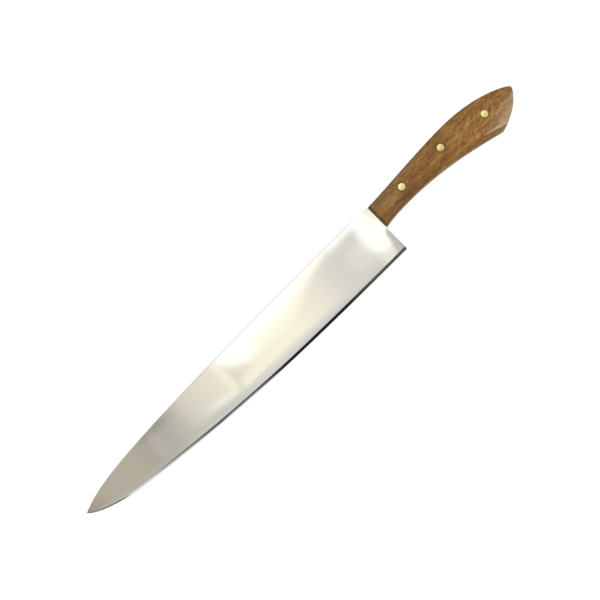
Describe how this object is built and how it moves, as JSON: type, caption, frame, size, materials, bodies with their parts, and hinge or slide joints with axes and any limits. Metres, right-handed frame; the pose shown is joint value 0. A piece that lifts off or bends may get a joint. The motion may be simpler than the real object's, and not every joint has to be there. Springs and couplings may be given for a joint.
{
  "type": "carving knife",
  "caption": "Long carving knife with a taper-ground pointed blade, a full tang and riveted walnut scales with a faceted pommel.",
  "frame": {"origin": "on the surface that the knife lies on, under the middle of its bounding box", "axes": "+X from the blade's point to the butt of the handle, +Y towards the spine, +Z through the thickness, up from the surface it lies on"},
  "size_m": [0.3826, 0.0395, 0.016],
  "materials": {
    "steel": "ground and buffed, fine lengthwise polishing lines",
    "walnut": "oiled satin, fine lengthwise grain",
    "brass": "sanded flush and buffed"
  },
  "bodies": {
    "root": {"blade": "steel", "upper_scale": "walnut", "lower_scale": "walnut", "front_rivet": "brass", "middle_rivet": "brass", "rear_rivet": "brass"}
  },
  "joints": []
}
